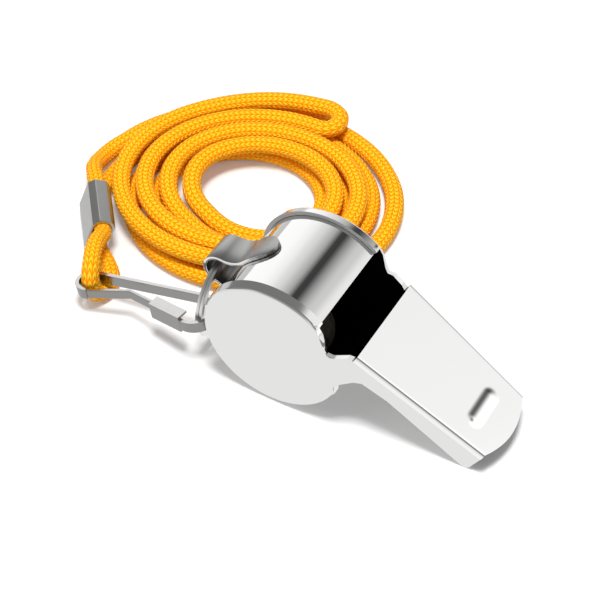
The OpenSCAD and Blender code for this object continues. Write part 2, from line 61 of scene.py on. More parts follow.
# Neck cord: a soft round braid of polyester, about 3 mm thick, doubled and wound into a
# flat coil of three and a third turns. Both its ends are held in the ferrule, and the small
# loop below it holds the clip.
CORD_R = 1.4
SHIFT_X = -9.86122                  # puts what is measured from the whistle in the part's frame
COIL_C = (-23.1, 23.9)
COIL_R, COIL_STRETCH = 21.8, 1.16   # at the first turn's start, and how much wider it lies
COIL_TURNED, COIL_START = math.radians(20), 196.0
COIL_FIRST, COIL_TURNS = 0.12, 3.36
COIL_BACK, BACK_SOFT = 1.91, 0.02   # the turn at which it stops winding in and winds out
CLIMB = 0.5                         # the turns that it takes to climb on top there
PITCH = 3.3
PAIR_PITCH = 2 * PITCH
BIGHT_FROM, BIGHT_OPEN = 3.2, 0.77  # the two strands part a little before the bight
STEPS_A_TURN = 48
lead_outer = [(-41.3, 7.45, 4.95), (-44.3, 11.2, 4.95), (-45, 12.1, 5), (-46.6, 13.9, 4.6),
              (-48.3, 16.3, 3.6), (-49.3, 18.8, 2.2), (-49.6, 21.2, 1.5), (-49.3, 23.5, 1.4)]
lead_inner = [(-39.1, 3, 2.15), (-45.1, 10.6, 2.15), (-45.5, 11.2, 2.1), (-45.7, 13.6, 1.5),
              (-45.8, 16.4, 1.4), (-45.9, 19, 1.4), (-45.8, 21.3, 1.4), (-45.5, 23.4, 1.4)]
loop_route = [(-41.0, 7.08, 4.95), (-38.3, 3.7, 4.95), (-37.9, 3.2, 5), (-37.2, 1.2, 5.9),
              (-36.4, -1.1, 6.7), (-35.4, -3.3, 7), (-34.6, -4.8, 6.95), (-34.1, -5.9, 6.4),
              (-33.8, -6.4, 5.3), (-33.7, -6.4, 4.1), (-33.6, -6.4, 3.1), (-33.4, -5.9, 2.1),
              (-33, -4.8, 1.45), (-33, -3.2, 1.4), (-33.6, -1.6, 1.4), (-35.1, 0, 1.45),
              (-37, 1.3, 1.75), (-38.7, 2.5, 2.15)]


def smooth(u):
    """0 up to u = 0 and 1 from u = 1, with a soft rise between."""
    v = max(0.0, min(1.0, u))
    return v * v * (3 - 2 * v)


def strand_at(t, side):
    """Where the outer (side 1) or inner (side -1) strand lies after t turns of the coil."""
    half = PITCH / 2 + BIGHT_OPEN * smooth((t - BIGHT_FROM) / (COIL_TURNS - BIGHT_FROM))
    middle = (COIL_R - PAIR_PITCH * COIL_BACK
              + PAIR_PITCH * math.hypot(t - COIL_BACK, BACK_SOFT) + half - PITCH / 2)
    r, a = middle + side * half, math.radians(COIL_START - 360 * t)
    x, y = COIL_STRETCH * r * math.cos(a), r * math.sin(a)
    return Vector((COIL_C[0] + x * math.cos(COIL_TURNED) - y * math.sin(COIL_TURNED),
                   COIL_C[1] + x * math.sin(COIL_TURNED) + y * math.cos(COIL_TURNED),
                   CORD_R + PITCH * smooth((t - COIL_BACK + CLIMB / 2) / CLIMB)))


steps = round((COIL_TURNS - COIL_FIRST) * STEPS_A_TURN)
times = [COIL_FIRST + (COIL_TURNS - COIL_FIRST) * i / steps for i in range(steps + 1)]
strand_out = [strand_at(t, 1) for t in times]
strand_in = [strand_at(t, -1) for t in reversed(times)]
bight_c = (strand_out[-1] + strand_in[0]) / 2
bight_e = (strand_out[-1] - strand_in[0]) / 2
heading = strand_out[-1] - strand_out[-2]
bight_f = heading - bight_e * heading.dot(bight_e) / bight_e.length_squared
bight_f = bight_f.normalized() * bight_e.length
bight = [bight_c + bight_e * math.cos(math.radians(a)) + bight_f * math.sin(math.radians(a))
         for a in range(20, 161, 20)]
route = ([Vector(p) for p in lead_outer] + strand_out + bight + strand_in
         + [Vector(p) for p in reversed(lead_inner)]
         + [Vector(p) for p in reversed(loop_route)])


def slope_at(before, here, after):
    """The direction of a smooth curve at the middle one of three points."""
    back, ahead = (here - before).length, (after - here).length
    return ((after - here) / ahead * back + (here - before) / back * ahead) / (back + ahead)


def evenly_spaced(points, step):
    """One smooth curve through the points, cut into even steps."""
    cuts = 12
    fine = []
    for i in range(len(points) - 1):
        p1, p2 = points[i], points[i + 1]
        span = (p2 - p1).length
        m1 = slope_at(points[i - 1], p1, p2) if i else (p2 - p1) / span
        m2 = slope_at(p1, p2, points[i + 2]) if i + 2 < len(points) else (p2 - p1) / span
        for k in range(cuts):
            u = k / cuts
            fine.append(p1 * (2 * u**3 - 3 * u**2 + 1) + m1 * span * (u**3 - 2 * u**2 + u)
                        + p2 * (3 * u**2 - 2 * u**3) + m2 * span * (u**3 - u**2))
    fine.append(points[-1])
    out, carried = [fine[0]], 0.0
    for a, b in zip(fine, fine[1:]):
        span = (b - a).length
        while carried + span >= step:
            a = a.lerp(b, (step - carried) / span)
            out.append(a.copy())
            span, carried = (b - a).length, 0.0
        carried += span
    return out


CORD_STEP = 0.55
shift = Vector((SHIFT_X, 0, 0))
centreline = evenly_spaced([p + shift for p in route], CORD_STEP)
RIBS, GROOVE = 10, 0.09
FLATTENED, FLAT_FROM, FLAT_OVER = 0.11, 10.8, 18


def braided_tube(name, points, radius, ribs):
    """A tube with ribs along it, flattened where it lies; its UV runs along it and round it."""
    sides = 2 * ribs
    verts, faces, coords = [], [], []
    n, step = len(points), (points[1] - points[0]).length
    tangent = (points[1] - points[0]).normalized()
    side = Vector((0, 0, 1)).cross(tangent).normalized()
    for i, p in enumerate(points):
        a, b = points[max(i - 1, 0)], points[min(i + 1, n - 1)]
        tangent = (b - a).normalized()
        side = (side - tangent * side.dot(tangent)).normalized()
        up = tangent.cross(side)
        wider = 1 + FLATTENED * smooth((min(i, n - 1 - i) * step - FLAT_FROM) / FLAT_OVER)
        for k in range(sides):
            w = 2 * math.pi * k / sides
            off = (radius - GROOVE * (1 - k % 2)) * (side * math.cos(w) + up * math.sin(w))
            off.x, off.y = off.x * wider, off.y * wider
            verts.append((p + off) * MM)
    for i in range(n - 1):
        for k in range(sides):
            a, b = i * sides + k, i * sides + (k + 1) % sides
            faces.append((a, b, b + sides, a + sides))
            u0, u1, v0, v1 = i * step, (i + 1) * step, k / sides, (k + 1) / sides
            coords += [(u0, v0), (u0, v1), (u1, v1), (u1, v0)]
    for start, order in ((0, -1), ((n - 1) * sides, 1)):
        faces.append([start + k for k in range(sides)][::order])
        coords += [(0, 0)] * sides
    mesh = bpy.data.meshes.new(name)
    mesh.from_pydata(verts, [], faces)
    layer = mesh.uv_layers.new(name="along_cord")
    for loop, uv in zip(layer.data, coords):
        loop.uv = uv
    mesh.polygons.foreach_set("use_smooth", [True] * len(faces))
    obj = bpy.data.objects.new(name, mesh)
    bpy.context.scene.collection.objects.link(obj)
    return obj


neck_cord = braided_tube("neck_cord", centreline, CORD_R, RIBS)


def colour(hex_code):
    """An sRGB hex colour, as the linear values that a shader takes."""
    channels = [int(hex_code[i:i + 2], 16) / 255 for i in (1, 3, 5)]
    return [c / 12.92 if c <= 0.04045 else ((c + 0.055) / 1.055) ** 2.4 for c in channels] + [1]


def add_node(material, kind, settings=None, **links):
    """Adds a node, sets its properties and sockets, and links the named inputs to it.

    A number stands for the socket at that place: 4 is the fifth one, and i4 a link to it."""
    node = material.node_tree.nodes.new(kind)
    for key, value in (settings or {}).items():
        if isinstance(key, int) or key in node.inputs:
            node.inputs[key].default_value = value
        else:
            setattr(node, key, value)
    for key, source in links.items():
        numbered = key[0] == "i" and key[1:].isdigit()
        target = node.inputs[int(key[1:]) if numbered else key]
        material.node_tree.links.new(source, target)
    return node


def new_material(name, settings):
    """A material with these values on its shader's own sockets, and that shader."""
    material = bpy.data.materials.new(name)
    material.use_nodes = True
    shader = material.node_tree.nodes["Principled BSDF"]
    for socket, value in settings.items():
        shader.inputs[socket].default_value = value
    return material, shader


def two_colours(ramp, stops):
    """Gives a ramp its two colours, each with its place from 0 to 1."""
    for i, (position, hex_code) in enumerate(stops):
        ramp.color_ramp.elements[i].color = colour(hex_code)
        ramp.color_ramp.elements[i].position = position


# Braided polyester, golden and matt with a soft sheen: ten ribs of V-shaped stitches run along
# it, each stitch 0.9 mm long, with painted shade in deep orange between the yarns. The yarn's
# own fuzz, 0.4 mm, is drawn coarser than it is, and the dye drifts over about 11 mm.
STITCH_MM, SLANT = 0.9, 1.3
FUZZ_PER_MM, DRIFT_PER_MM = 2.6, 0.09
braid, shader = new_material("braided_polyester_orange", {
    "Roughness": 0.75, "Sheen Weight": 0.03, "Sheen Roughness": 0.4, "Specular IOR Level": 0.08})
uv = add_node(braid, "ShaderNodeUVMap", {"uv_map": "along_cord"})
split = add_node(braid, "ShaderNodeSeparateXYZ", Vector=uv.outputs[0])
rib = add_node(braid, "ShaderNodeMath", {"operation": "MULTIPLY", 1: RIBS}, i0=split.outputs[1])
rib_part = add_node(braid, "ShaderNodeMath", {"operation": "FRACT"}, i0=rib.outputs[0])
rib_side = add_node(braid, "ShaderNodeMath", {"operation": "SUBTRACT", 1: 0.5},
                    i0=rib_part.outputs[0])
rib_dist = add_node(braid, "ShaderNodeMath", {"operation": "ABSOLUTE"}, i0=rib_side.outputs[0])
along = add_node(braid, "ShaderNodeMath", {"operation": "MULTIPLY", 1: 1 / STITCH_MM},
                 i0=split.outputs[0])
slant = add_node(braid, "ShaderNodeMath", {"operation": "MULTIPLY_ADD", 1: SLANT},
                 i0=rib_dist.outputs[0], i2=along.outputs[0])
wave = add_node(braid, "ShaderNodeMath", {"operation": "MULTIPLY", 1: 2 * math.pi},
                i0=slant.outputs[0])
stitch = add_node(braid, "ShaderNodeMath", {"operation": "SINE"}, i0=wave.outputs[0])
stitch_up = add_node(braid, "ShaderNodeMath", {"operation": "MULTIPLY_ADD", 1: 0.5, 2: 0.5},
                     i0=stitch.outputs[0])
rib_crown = add_node(braid, "ShaderNodeMapRange", {1: 0.5, 2: 0.25, 3: 0.0, 4: 1.0,
                     "interpolation_type": "SMOOTHSTEP"}, i0=rib_dist.outputs[0])
relief = add_node(braid, "ShaderNodeMath", {"operation": "MULTIPLY"},
                  i0=stitch_up.outputs[0], i1=rib_crown.outputs[0])
place = add_node(braid, "ShaderNodeTexCoord")
yarn = add_node(braid, "ShaderNodeTexNoise", {"Scale": FUZZ_PER_MM / MM, "Detail": 3.0},
                Vector=place.outputs["Object"])
drift = add_node(braid, "ShaderNodeTexNoise", {"Scale": DRIFT_PER_MM / MM, "Detail": 2.0},
                 Vector=place.outputs["Object"])
height = add_node(braid, "ShaderNodeMath", {"operation": "MULTIPLY_ADD", 1: 0.25},
                  i0=yarn.outputs[0], i2=relief.outputs[0])
# Painted shade: the ramp turns the yarn deep orange where the stitch relief is low.
ramp = add_node(braid, "ShaderNodeValToRGB", Fac=relief.outputs[0])
two_colours(ramp, [(0.02, "#FF8A00"), (0.45, "#FFCE2E")])
tint = add_node(braid, "ShaderNodeMix", {"data_type": "RGBA", "blend_type": "MULTIPLY",
                7: colour("#FFF8E0")}, i0=drift.outputs[0], i6=ramp.outputs[0])
bump = add_node(braid, "ShaderNodeBump", {"Strength": 0.7, "Distance": 0.2 * MM},
                Height=height.outputs[0])
braid.node_tree.links.new(tint.outputs[2], shader.inputs["Base Color"])
braid.node_tree.links.new(bump.outputs[0], shader.inputs["Normal"])
neck_cord.data.materials.append(braid)
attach(neck_cord, "lanyard")
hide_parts("lanyard_coil", "lanyard_lead", "lanyard_loop")


# Ferrule: aluminium strip folded round the two cords and crimped, with its seam below. The
# crimp leaves flat sides, and the strip's edges are broken all round.
SMOOTH_UP_TO = 32                       # degrees between two faces that shade as one
BROKEN_OVER, BROKEN_SEGMENTS = 30, 2    # degrees from which an edge is rounded
WELD, STRAIGHT = 2e-6, math.radians(0.6)


def even_normals(obj, angle=SMOOTH_UP_TO):
    """Smooth shading in which the flat faces of a sheet stay flat."""
    bpy.ops.object.select_all(action="DESELECT")
    bpy.context.view_layer.objects.active = obj
    obj.select_set(True)
    bpy.ops.object.shade_smooth_by_angle(angle=math.radians(angle))
    flat = obj.modifiers.new("flat_faces", "WEIGHTED_NORMAL")
    flat.keep_sharp = True
    flat.weight = 100
    bpy.ops.object.modifier_apply(modifier=flat.name)
    obj.select_set(False)


def break_edges(obj, width, angle):
    """Rounds the edges sharper than the angle, on the object that is active."""
    bevel = obj.modifiers.new("broken_edges", "BEVEL")
    bevel.width = width
    bevel.segments = BROKEN_SEGMENTS
    bevel.limit_method = "ANGLE"
    bevel.angle_limit = math.radians(angle)
    bpy.ops.object.modifier_apply(modifier=bevel.name)


def clean_copy(node, name, material, edge_mm, press=None):
    """A clean copy of a node, its sharp edges broken as a press or a tumbler leaves them."""
    bpy.ops.object.select_all(action="DESELECT")
    copy = bpy.data.objects.new(name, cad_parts[node].data.copy())
    bpy.context.scene.collection.objects.link(copy)
    bpy.context.view_layer.objects.active = copy
    copy.select_set(True)
    bpy.ops.object.mode_set(mode="EDIT")
    bpy.ops.mesh.select_all(action="SELECT")
    bpy.ops.mesh.remove_doubles(threshold=WELD)
    bpy.ops.mesh.dissolve_limited(angle_limit=STRAIGHT)
    bpy.ops.object.mode_set(mode="OBJECT")
    if press:
        press(copy)
    if edge_mm:
        break_edges(copy, edge_mm * MM, BROKEN_OVER)
    even_normals(copy)
    copy.data.materials.clear()
    copy.data.materials.append(material)
    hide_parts(node)
    return copy


def worked_metal(name, hex_code, per_mm, detail, rough, relief=None, metallic=1.0):
    """A metal whose roughness drifts between two values, in so many grains a millimetre.

    The relief, where there is one, is its bump's strength and depth in millimetres."""
    metal, shader = new_material(name, {"Base Color": colour(hex_code), "Metallic": metallic})
    place = add_node(metal, "ShaderNodeTexCoord")
    grain = add_node(metal, "ShaderNodeTexNoise", {"Scale": per_mm / MM, "Detail": detail},
                     Vector=place.outputs["Object"])
    spread = add_node(metal, "ShaderNodeMapRange", {3: rough[0], 4: rough[1]},
                      i0=grain.outputs[0])
    metal.node_tree.links.new(spread.outputs[0], shader.inputs["Roughness"])
    if relief:
        strength, depth = relief
        bump = add_node(metal, "ShaderNodeBump", {"Strength": strength, "Distance": depth * MM},
                        Height=grain.outputs[0])
        metal.node_tree.links.new(bump.outputs[0], shader.inputs["Normal"])
    return metal


# Satin aluminium: its rolled grain, drawn about 1 mm coarse so that it shows, spreads the
# light, so each flat of the crimp is one even grey.
ferrule_metal = worked_metal("satin_aluminium_strip", "#B4B4B2", 0.9, 4.0, (0.28, 0.42),
                             relief=(0.25, 0.03))
ferrule = clean_copy("ferrule", "crimped_ferrule", ferrule_metal, 0.12)
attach(ferrule, "lanyard")


# Clip: one strip of nickel-plated spring steel, bent round the cord and into a hook, with
# a folded channel that takes the tip of the springy near leg.
UPWARD = 0.6                            # a normal's height, from which a face looks up
# Nickel plate over rolled steel, with a grain of 0.7 mm: the strip's flat sides mirror the room
# softly, in a colour painted dark as shade, and its upper edges, tumbled round before the
# plating, are painted pale as a highlight.
strip_painted_shade = worked_metal("nickel_plated_strip_painted_shade", "#929190", 1.4, 3.0, (0.16, 0.24),
                           relief=(0.06, 0.02))
strip_painted_highlight = worked_metal("plated_strip_painted_highlight", "#C2C1BF", 1.4, 3.0, (0.2, 0.3))
for node, name, body in (("clip_frame", "clip_body", "lanyard"),
                         ("clip_tongue", "clip_spring_leg", "tongue")):
    strip = clean_copy(node, name, strip_painted_shade, 0.1)
    strip.data.materials.append(strip_painted_highlight)
    # Painted highlight: the faces that look up get the paler plating.
    for face in strip.data.polygons:
        if face.normal.z > UPWARD:
            face.material_index = 1
    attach(strip, body)


# Split ring: flat spring wire wound in two turns, tumbled and nickel plated, hung in the
# lug's eye and the clip's hook. Its plating drifts over 2 mm and gives it a pale, soft
# shine without clear reflections.
ring_metal = worked_metal("plated_spring_wire", "#ECEBE9", 0.5, 3.0, (0.3, 0.4))
ring = clean_copy("split_ring", "key_ring", ring_metal, 0.12)
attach(ring, "ring")


# Side plates: discs pressed from steel sheet with their edges turned over the barrel, each
# carried on as the mouthpiece's side. The faces are polished to a mirror, the turned edge keeps
# a duller grain and a colour painted darker as shade, and the unpolished inside is painted near
# black as shade.
NOSE_DOWN = math.radians(30.3396)           # how the whistle lies, on its drum and its tip
DRUM_R, FACE_Y, CORNER_R = 11.5, 9.65, 0.5
CORNER_Y = FACE_Y - CORNER_R
RIM_FROM, DRAFT = 8.0, math.radians(12)
STEP, STEP_AT = math.radians(31), 10.6      # the notch in front of the window starts there
ON_SURFACE = 0.03


def tilted(v, angle):
    """Turned about the line across the drum, as three plain numbers."""
    cos, sin = math.cos(angle), math.sin(angle)
    return v[0] * cos - v[2] * sin, v[1], v[0] * sin + v[2] * cos


def in_whistle(point):
    """A point in metres, as millimetres along the whistle's own axes from its drum's middle."""
    x, y, z = point
    return Vector(tilted((x / MM - SHIFT_X, y / MM, z / MM - DRUM_R), NOSE_DOWN))


def out_of_whistle(p):
    """Such a point back in metres, in the part's frame."""
    x, y, z = tilted(p, -NOSE_DOWN)
    return Vector((x + SHIFT_X, y, z + DRUM_R)) * MM


def finish_faces(obj, material, wanted):
    """Gives the faces for which wanted(middle, normal) is true another finish."""
    obj.data.materials.append(material)
    index = len(obj.data.materials) - 1
    for face in obj.data.polygons:
        if wanted(in_whistle(face.center), Vector(tilted(face.normal, NOSE_DOWN))):
            face.material_index = index


def radius(p):
    """How far a point is from the drum's axis."""
    return math.hypot(p.x, p.z)


def on_rim(p, n):
    """Whether a face is on the outside of the turned edge or of its corner."""
    out = (p.x * n.x + p.z * n.z) / max(radius(p), 1e-6)
    return radius(p) > DRUM_R - 0.3 and out > 0.75


def faces_inwards(p, n):
    """Whether a side plate's face looks at the whistle's middle, within about 60 degrees."""
    return n.y * p.y < -RIM_FROM / 2


def rim_end(p, n):
    """Whether a face is the sheared end of the turned edge."""
    return faces_inwards(p, n) and abs(abs(p.y) - RIM_FROM) < 0.1 and p.x < DRUM_R - 2


def inside_plate(p, n):
    """Whether a face is on the inside of a side plate, apart from that end."""
    return faces_inwards(p, n) and not rim_end(p, n)


def draft_rim(plate):
    """Gives the turned edge of the disc the draft and the round corner that pressing leaves."""
    lean, corner = math.tan(DRAFT), CORNER_R / (1 - math.sin(DRAFT))
    corner_at = DRUM_R - lean * (CORNER_Y - RIM_FROM) - corner * math.cos(DRAFT)
    for vertex in plate.data.vertices:
        p = in_whistle(vertex.co)
        r, y = radius(p), abs(p.y)
        from_corner, past_corner = r - DRUM_R + CORNER_R, y - CORNER_Y
        straight = abs(r - DRUM_R) < ON_SURFACE and past_corner < 0.05
        off_corner = abs(math.hypot(from_corner, past_corner) - CORNER_R)
        pressed = off_corner < ON_SURFACE and past_corner > 0
        past_step = p.x * math.cos(STEP) + p.z * math.sin(STEP) > STEP_AT - 0.05
        if past_step or not (straight or pressed):
            continue
        if straight:
            new_r, new_y = DRUM_R - lean * max(y - RIM_FROM, 0), y
        else:
            a = DRAFT + math.atan2(past_corner, from_corner) * (1 - DRAFT / (math.pi / 2))
            new_r, new_y = corner_at + corner * math.cos(a), FACE_Y + corner * (math.sin(a) - 1)
        vertex.co = out_of_whistle(
            Vector((p.x * new_r / r, math.copysign(new_y, p.y), p.z * new_r / r)))


# Polished steel: a mirror whose roughness drifts with the polishing mop, over about 8 mm.
# The faces show the room as one even pale grey. The turned edge keeps the forming tool's
# fine grain, so what it mirrors is softer, and its colour is painted darker as shade.
MOP_PER_MM = 0.12
disc_polish = worked_metal("polished_steel_disc", "#E3E3E2", MOP_PER_MM, 2.0, (0.05, 0.09))
rim_painted_shade = worked_metal("turned_steel_edge_painted_shade", "#CDCDCC", MOP_PER_MM, 2.0, (0.1, 0.16))
# Sheared steel: its torn grain, 0.7 mm, scatters the light as a matt thing does, so it is
# only part metallic, and pale from every side.
cut_steel = worked_metal("sheared_steel_edge", "#D9D9D8", 1.5, 3.0, (0.45, 0.6), metallic=0.4)
# Bare steel inside, its roughness dull in patches of 2.5 mm and its colour painted near black as
# shade: the window looks black.
inside_painted_shade = worked_metal("bare_steel_inside_painted_shade", "#2B2B2C", 0.4, 4.0, (0.35, 0.6))
for node, name in (("side_plate_left", "left_shell"), ("side_plate_right", "right_shell")):
    plate = clean_copy(node, name, disc_polish, 0.08, press=draft_rim)
    # Painted shade: the turned edge gets the darker steel.
    finish_faces(plate, rim_painted_shade, on_rim)
    # Painted shade: the plates' inner faces get the near-black steel.
    finish_faces(plate, inside_painted_shade, inside_plate)
    finish_faces(plate, cut_steel, rim_end)
    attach(plate, "whistle")


# Barrel: one strip rolled round the drum and carried on as the mouthpiece's floor, which
# the side plates' edges close over. Its outside is polished to a mirror.
BARREL_R = 10.75


def inside_barrel(p, n):
    """Whether a face is on the inside of the drum or of the mouthpiece's floor."""
    in_drum = radius(p) < BARREL_R - 0.4 and p.x * n.x + p.z * n.z < 0
    return in_drum or (p.x > DRUM_R and n.z > 0.5)


# The sharpest polish of all, so the studio's dark gap shows as a crisp stripe.
barrel_polish = worked_metal("polished_steel_barrel", "#CBCBCA", MOP_PER_MM, 2.0, (0.04, 0.08))
barrel = clean_copy("barrel", "rolled_barrel", barrel_polish, 0.06)
# Painted shade: the inside of the drum and of the mouthpiece's floor gets the near-black steel.
finish_faces(barrel, inside_painted_shade, inside_barrel)
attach(barrel, "whistle")


# Roof plate: steel sheet with its long edges folded down over the side plates, a bulging
# front edge and a low bead pressed up across it for the teeth. Its outside is polished.
ROOF_X, ROOF_Z, ROOF_T, TIP_X, TIP_BULGE = 9.6, 10.6, 0.55, 32.9, 1.6
ROOF_HALF, TIP_HALF, FOLD_R, FOLD_Z = 8.49, 6.7, 0.6, 9.56
BEAD_X, BEAD_HALF_L, BEAD_R, BEAD_HIGH = 28.7, 2.4, 1.6, 0.3
BEAD_FROM, BEAD_TO = 26.7, 30.7             # the finer rows that the bead needs
ACROSS_CUTS, INSIDE_HALF = 70, 7.5
row_runs = ((ROOF_X, BEAD_FROM, 14), (BEAD_FROM, BEAD_TO, 36), (BEAD_TO, TIP_X, 8))
rows = [x0 + (x1 - x0) * i / count for x0, x1, count in row_runs for i in range(count)] + [TIP_X]
bpy.ops.object.select_all(action="DESELECT")
bpy.ops.mesh.primitive_grid_add(x_subdivisions=len(rows) - 1, y_subdivisions=ACROSS_CUTS, size=2)
roof = bpy.context.active_object
roof.name = roof.data.name = "roof_plate"


def half_width(x):
    """Half the roof's width over its folds, which narrows towards the mouth."""
    return ROOF_HALF - (x - ROOF_X) * (ROOF_HALF - TIP_HALF) / (TIP_X - ROOF_X)


for vertex in roof.data.vertices:
    x, across = rows[round((vertex.co.x + 1) * (len(rows) - 1) / 2)], vertex.co.y
    y = across * (half_width(x) - FOLD_R)
    x += TIP_BULGE * smooth((x - BEAD_TO) / (TIP_X - BEAD_TO)) * (1 - across ** 2)
    off = math.hypot(x - BEAD_X, max(abs(y) - BEAD_HALF_L, 0))
    vertex.co = (x, y, ROOF_Z + BEAD_HIGH * smooth(1 - off / BEAD_R))
fold = [(FOLD_R * math.sin(math.radians(a)), FOLD_R * (math.cos(math.radians(a)) - 1))
        for a in range(0, 91, 15)] + [(FOLD_R, FOLD_Z - ROOF_Z)]
bpy.ops.object.mode_set(mode="EDIT")
bpy.ops.mesh.select_mode(type="EDGE")
for side in (-1, 1):
    bpy.ops.mesh.select_all(action="DESELECT")
    bpy.ops.object.mode_set(mode="OBJECT")
    for edge in roof.data.edges:
        ends = [roof.data.vertices[v].co for v in edge.vertices]
        edge.select = all(
            abs(side * e.y - half_width(min(e.x, TIP_X)) + FOLD_R) < 1e-3 for e in ends)
    bpy.ops.object.mode_set(mode="EDIT")
    for (y0, z0), (y1, z1) in zip(fold, fold[1:]):
        bpy.ops.mesh.extrude_edges_move(
            TRANSFORM_OT_translate={"value": (0, side * (y1 - y0), z1 - z0)})
bpy.ops.mesh.select_all(action="SELECT")
bpy.ops.mesh.normals_make_consistent(inside=False)
bpy.ops.object.mode_set(mode="OBJECT")
wall = roof.modifiers.new("sheet", "SOLIDIFY")
wall.thickness, wall.offset, wall.use_even_offset = ROOF_T, -1, True
bpy.ops.object.modifier_apply(modifier=wall.name)
for vertex in roof.data.vertices:
    vertex.co = out_of_whistle(vertex.co)
BENT_OVER = 40
even_normals(roof, BENT_OVER)
# The same polish, painted brighter as light on this face, which looks up into the room: almost
# white.
roof_painted_light = worked_metal("polished_steel_roof_painted_light", "#F3F3F2", MOP_PER_MM, 2.0, (0.05, 0.09))
roof.data.materials.append(roof_painted_light)
# Painted shade: the roof's underside gets the near-black steel.
finish_faces(roof, inside_painted_shade, lambda p, n: n.z < -0.5 and abs(p.y) < INSIDE_HALF)
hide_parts("mouthpiece_top")
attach(roof, "whistle")


# Windway insert: a bent steel strip soldered in under the roof plate, left as it was cut and
# painted dark as the shade inside, which narrows the air's way to a slot at the window.
insert = clean_copy("windway_insert", "windway_strip", inside_painted_shade, 0.05)
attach(insert, "whistle")


# Lug: a strip bent into an eye, swept from there into two leaf-shaped feet soldered to the
# barrel and only buffed; its grey is painted shade, and its cut edges are painted bright as a
# highlight. It is bent flat, with its eye up, and then turned into its place at the back of the
# drum.
LUG_TURN, LUG_HALF, LUG_T, LUG_EDGE = math.radians(105.7), 2.7, 0.6, 0.12
FOOT_R, FOOT_END, LEAF_L = 11.1, 54.0, 4.2
EYE_R, EYE_AT = 2.5, 13.03
NECK_BENDS = (4.5, 3.2)             # radius of the sweep into the upper and the lower foot
LUG_CUTS = (30, 14, 14)             # along a foot, a sweep and half the eye
LUG_CORNER = 50                     # degrees from which its edges are rounded


def arc(c, r, a0, a1, n):
    """Points on a circle, from one angle to another in degrees."""
    turns = [math.radians(a0 + (a1 - a0) * i / n) for i in range(n + 1)]
    return [(c[0] + r * math.cos(a), c[1] + r * math.sin(a)) for a in turns]


def sweep_to_eye(bend_r):
    """Centre of the bend that touches the foot's circle and the eye's from outside."""
    u = ((FOOT_R + bend_r) ** 2 - (EYE_R + bend_r) ** 2 + EYE_AT ** 2) / (2 * EYE_AT)
    return math.sqrt((FOOT_R + bend_r) ** 2 - u * u), u


half_lines = []
for bend_r in NECK_BENDS:
    c = sweep_to_eye(bend_r)
    touch = math.degrees(math.atan2(c[0], c[1]))
    leave = math.degrees(math.atan2(c[1] - EYE_AT, c[0]))
    half_lines.append(arc((0, 0), FOOT_R, 90 - FOOT_END, 90 - touch, LUG_CUTS[0])
                      + arc(c, bend_r, 270 - touch, 180 + leave, LUG_CUTS[1])[1:]
                      + arc((0, EYE_AT), EYE_R, leave, 90, LUG_CUTS[2])[1:])
lug_line = half_lines[0] + [(-v, u) for v, u in reversed(half_lines[1][:-1])]
bpy.ops.object.select_all(action="DESELECT")
bpy.ops.mesh.primitive_plane_add(size=2 * LUG_HALF)
lug = bpy.context.active_object
lug.name = lug.data.name = "ring_lug"
bpy.ops.object.mode_set(mode="EDIT")
bpy.ops.mesh.select_mode(type="EDGE")
bpy.ops.mesh.select_all(action="DESELECT")
bpy.ops.object.mode_set(mode="OBJECT")
for vertex in lug.data.vertices:
    on_line = lug_line[1] if vertex.co.x > 0 else lug_line[0]
    vertex.co = (on_line[0], vertex.co.y, on_line[1])
for edge in lug.data.edges:
    edge.select = all(abs(lug.data.vertices[v].co.x - lug_line[1][0]) < 1e-5
                      for v in edge.vertices)
bpy.ops.object.mode_set(mode="EDIT")
for (v0, u0), (v1, u1) in zip(lug_line[1:], lug_line[2:]):
    bpy.ops.mesh.extrude_edges_move(TRANSFORM_OT_translate={"value": (v1 - v0, 0, u1 - u0)})
bpy.ops.mesh.select_all(action="SELECT")
bpy.ops.mesh.subdivide(number_cuts=1)
bpy.ops.mesh.normals_make_consistent(inside=False)
bpy.ops.object.mode_set(mode="OBJECT")
for vertex in lug.data.vertices:
    v, y, u = vertex.co
    from_tip = (math.radians(FOOT_END) - abs(math.atan2(v, u))) * FOOT_R
    if from_tip < LEAF_L:
        vertex.co.y = y * math.sqrt(max(1 - (1 - from_tip / LEAF_L) ** 2, 0.01))
wall = lug.modifiers.new("strip", "SOLIDIFY")
wall.thickness, wall.offset = LUG_T, 0
bpy.ops.object.modifier_apply(modifier=wall.name)
break_edges(lug, LUG_EDGE, LUG_CORNER)
for vertex in lug.data.vertices:
    vertex.co = out_of_whistle(Vector(tilted(vertex.co, LUG_TURN)))
even_normals(lug, BENT_OVER)
# Buffed steel, with blurred reflections: its grey colour is painted shade, and its cut edges are
# painted bright as a highlight.
lug_painted_grey = worked_metal("buffed_steel_lug_painted_grey", "#929291", MOP_PER_MM, 2.0, (0.26, 0.34))
lug.data.materials.append(lug_painted_grey)
# Painted highlight: the strip's cut edges get the bright disc polish.
finish_faces(lug, disc_polish, lambda p, n: abs(n.y) > 0.8)
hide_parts("lug")
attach(lug, "whistle")


